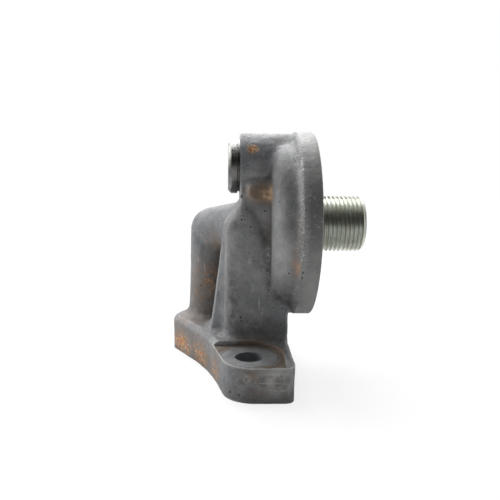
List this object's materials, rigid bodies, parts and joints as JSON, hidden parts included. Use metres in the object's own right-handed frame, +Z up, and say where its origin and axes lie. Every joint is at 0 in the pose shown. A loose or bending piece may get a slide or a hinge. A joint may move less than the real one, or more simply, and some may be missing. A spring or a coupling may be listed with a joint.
{
  "type": "oil filter housing",
  "caption": "Cast iron housing that carries a spin-on oil filter on a threaded nipple over a two-bolt base with oil ports, and holds a spring loaded relief valve behind a plug.",
  "frame": {"origin": "on the machined mounting face, straight below the axis of the filter nipple, in the plane that halves the nipple and the relief valve", "axes": "+X along the filter's axis, out of the filter face; +Z up from the mounting face; +Y towards the rear column"},
  "size_m": [0.0696, 0.0832, 0.0842],
  "materials": {
    "casting": "sand cast grey iron, fine grained, with brown rust by the bolt seat; machined faces lighter",
    "plated_steel": "zinc plated steel, cut thread",
    "dark_steel": "turned steel, dull and stained",
    "sealing_washer": "soft aluminium, dull",
    "bright_steel": "ground steel",
    "spring_steel": "oiled spring wire"
  },
  "bodies": {
    "housing_body": {"housing": "casting", "filter_nipple": "plated_steel", "valve_plug": "dark_steel", "valve_plug_washer": "sealing_washer", "relief_valve_spring": "spring_steel"},
    "plunger_body": {"relief_valve_plunger": "bright_steel"}
  },
  "joints": [
    {"name": "relief_valve_slide", "type": "slide", "parent": "housing_body", "child": "plunger_body", "axis": [-1, 0, 0], "range_m": [0, 0.0035], "stiffness_N_per_m": 1500, "springref_m": -0.004, "deforming": ["relief_valve_spring"]}
  ]
}
